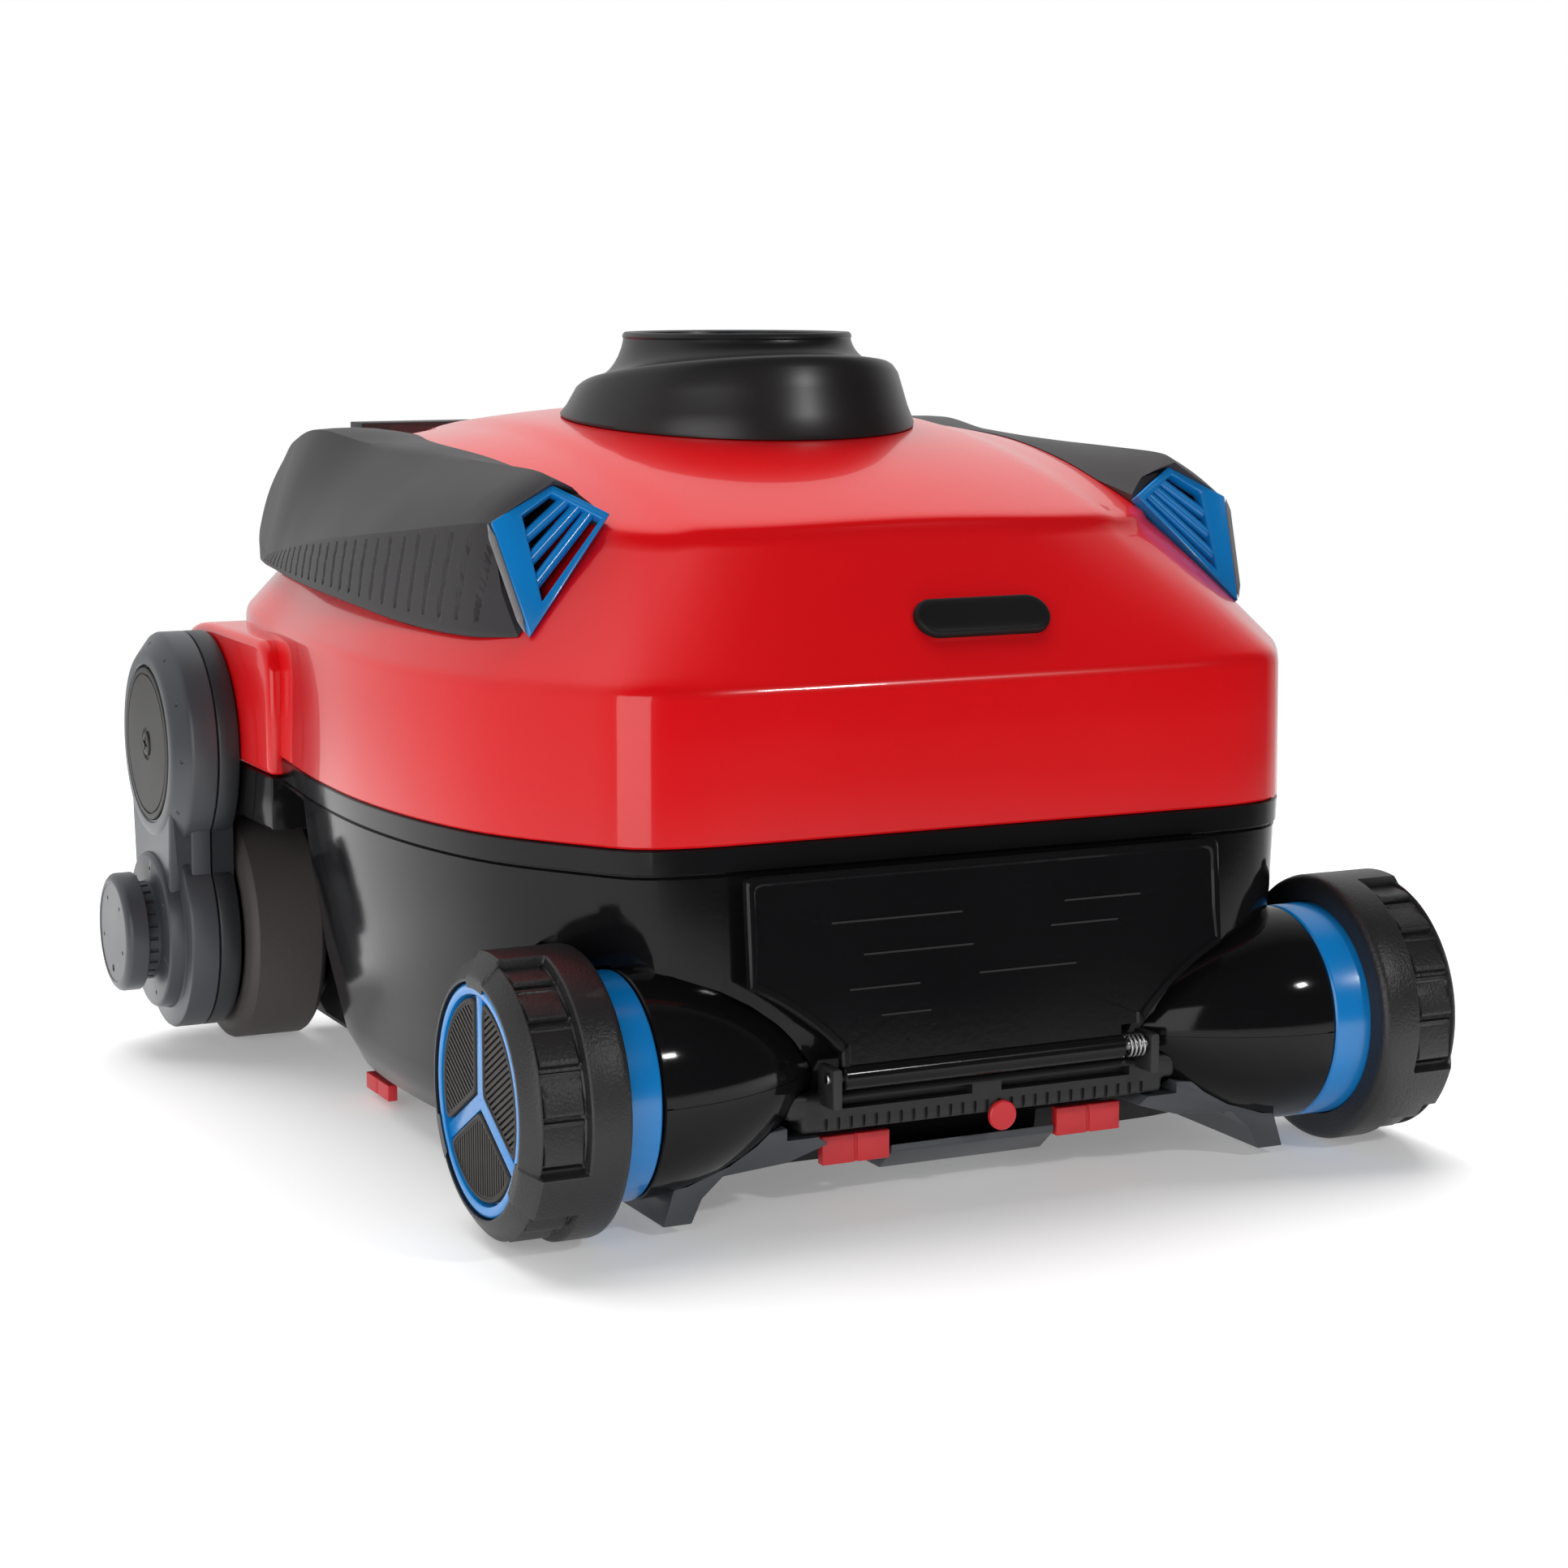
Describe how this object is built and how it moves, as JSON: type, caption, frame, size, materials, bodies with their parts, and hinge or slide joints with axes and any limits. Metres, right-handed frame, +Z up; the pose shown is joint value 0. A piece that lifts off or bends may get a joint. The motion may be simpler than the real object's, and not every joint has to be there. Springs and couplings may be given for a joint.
{
  "type": "pool cleaner",
  "caption": "Robotic pool cleaner with a domed shell, side grips, large lugged front wheels, geared rear drive arms, a hinged front door and a top outlet.",
  "frame": {"origin": "on the ground under the middle of the cleaner's box", "axes": "+Z up, -Y is the front with the door, +X to the right when looking along +Y"},
  "size_m": [0.45, 0.4521, 0.3067],
  "materials": {
    "shell_red": "gloss injection-moulded red plastic",
    "body_black": "gloss black plastic",
    "grip_grey": "matte dark grey plastic",
    "arm_slate": "satin slate grey plastic",
    "arm_dark": "satin dark slate plastic",
    "hub_blue": "gloss blue plastic",
    "tyre_black": "fine pebbled black rubber",
    "tyre_brown": "smooth brown-grey rubber",
    "latch_red": "satin red plastic",
    "rubber_black": "matte black rubber",
    "gear_white": "natural acetal",
    "steel": "stainless steel",
    "case_grey": "grey plastic casing",
    "basket_white": "white plastic with fine mesh"
  },
  "bodies": {
    "root": {"arm_inner_cover_left": "arm_dark", "arm_inner_cover_right": "arm_dark", "arm_outer_cover_left": "arm_slate", "arm_outer_cover_right": "arm_slate", "axle_cap_left": "arm_slate", "axle_cap_right": "arm_slate", "battery_pack": "case_grey", "bottom_lid": "body_black", "centre_scoop": "arm_dark", "charging_socket": "case_grey", "control_box": "case_grey", "door_hinge_pin": "steel", "door_spring": "steel", "drive_motor_left": "case_grey", "drive_motor_right": "case_grey", "drum_disc_left": "grip_grey", "drum_disc_right": "grip_grey", "filter_basket": "basket_white", "front_axle_left": "steel", "front_axle_right": "steel", "front_housing_left": "body_black", "front_housing_right": "body_black", "front_sill": "body_black", "lower_tub": "body_black", "outlet_collar": "body_black", "outlet_guard": "hub_blue", "pump_motor": "case_grey", "rear_handle": "grip_grey", "side_grip_left": "grip_grey", "side_grip_right": "grip_grey", "side_scoop_left": "arm_dark", "side_scoop_right": "arm_dark", "upper_shell": "shell_red", "vent_grille_left": "hub_blue", "vent_grille_right": "hub_blue"},
    "front_wheel_right": {"front_hub_right": "hub_blue", "front_tyre_right": "tyre_black", "hub_pads_right": "grip_grey"},
    "rear_wheel_right": {"rear_tyre_right": "tyre_brown", "rear_hub_right": "body_black", "wheel_gear_right": "gear_white", "rear_axle_right": "steel"},
    "idler_right": {"idler_gear_right": "gear_white"},
    "motor_gear_right": {"motor_gear_right": "gear_white"},
    "front_latch_right": {"front_latch_right": "latch_red"},
    "side_latch_right": {"side_latch_right": "latch_red"},
    "front_wheel_left": {"front_hub_left": "hub_blue", "front_tyre_left": "tyre_black", "hub_pads_left": "grip_grey"},
    "rear_wheel_left": {"rear_tyre_left": "tyre_brown", "rear_hub_left": "body_black", "wheel_gear_left": "gear_white", "rear_axle_left": "steel"},
    "idler_left": {"idler_gear_left": "gear_white"},
    "motor_gear_left": {"motor_gear_left": "gear_white"},
    "front_latch_left": {"front_latch_left": "latch_red"},
    "side_latch_left": {"side_latch_left": "latch_red"},
    "impeller": {"impeller": "hub_blue"},
    "door": {"front_door": "body_black"},
    "port_cover": {"port_cover": "rubber_black"}
  },
  "joints": [
    {"name": "front_wheel_right_spin", "type": "hinge", "parent": "root", "child": "front_wheel_right", "pos_m": [0.17, -0.1749, 0.0511], "axis": [1, 0, 0], "continuous": true},
    {"name": "rear_wheel_right_spin", "type": "hinge", "parent": "root", "child": "rear_wheel_right", "pos_m": [0.16, 0.174, 0.05], "axis": [1, 0, 0], "continuous": true},
    {"name": "idler_right_spin", "type": "hinge", "parent": "root", "child": "idler_right", "pos_m": [0.186, 0.174, 0.0905], "axis": [1, 0, 0], "continuous": true},
    {"name": "motor_gear_right_spin", "type": "hinge", "parent": "root", "child": "motor_gear_right", "pos_m": [0.186, 0.174, 0.131], "axis": [1, 0, 0], "continuous": true},
    {"name": "front_latch_right_flip", "type": "hinge", "parent": "root", "child": "front_latch_right", "pos_m": [0.0482, -0.1805, 0.026], "axis": [-1, 0, 0], "range_deg": [0, 60]},
    {"name": "side_latch_right_flip", "type": "hinge", "parent": "root", "child": "side_latch_right", "pos_m": [0.1516, 0.03, 0.01], "axis": [0, -1, 0], "range_deg": [0, 60]},
    {"name": "front_wheel_left_spin", "type": "hinge", "parent": "root", "child": "front_wheel_left", "pos_m": [-0.17, -0.1749, 0.0511], "axis": [1, 0, 0], "continuous": true},
    {"name": "rear_wheel_left_spin", "type": "hinge", "parent": "root", "child": "rear_wheel_left", "pos_m": [-0.16, 0.174, 0.05], "axis": [1, 0, 0], "continuous": true},
    {"name": "idler_left_spin", "type": "hinge", "parent": "root", "child": "idler_left", "pos_m": [-0.186, 0.174, 0.0905], "axis": [1, 0, 0], "continuous": true},
    {"name": "motor_gear_left_spin", "type": "hinge", "parent": "root", "child": "motor_gear_left", "pos_m": [-0.186, 0.174, 0.131], "axis": [1, 0, 0], "continuous": true},
    {"name": "front_latch_left_flip", "type": "hinge", "parent": "root", "child": "front_latch_left", "pos_m": [-0.0482, -0.1805, 0.026], "axis": [-1, 0, 0], "range_deg": [0, 60]},
    {"name": "side_latch_left_flip", "type": "hinge", "parent": "root", "child": "side_latch_left", "pos_m": [-0.1516, 0.03, 0.01], "axis": [0, 1, 0], "range_deg": [0, 60]},
    {"name": "impeller_spin", "type": "hinge", "parent": "root", "child": "impeller", "pos_m": [0, 0.02, 0.276], "axis": [0, 0, 1], "continuous": true},
    {"name": "door_hinge", "type": "hinge", "parent": "root", "child": "door", "pos_m": [0, -0.1996, 0.0511], "axis": [1, 0, 0], "range_deg": [0, 75], "stiffness_Nm_per_rad": 0.06, "springref_deg": -28.65},
    {"name": "port_cover_flip", "type": "hinge", "parent": "root", "child": "port_cover", "pos_m": [0.01, -0.16313, 0.2136], "axis": [-1, 0, 0], "range_deg": [0, 100]}
  ],
  "couplings": [
    {"joint": "idler_right_spin", "follows": "rear_wheel_right_spin", "ratio": -1.4545},
    {"joint": "motor_gear_right_spin", "follows": "rear_wheel_right_spin", "ratio": 1},
    {"joint": "idler_left_spin", "follows": "rear_wheel_left_spin", "ratio": -1.4545},
    {"joint": "motor_gear_left_spin", "follows": "rear_wheel_left_spin", "ratio": 1}
  ]
}
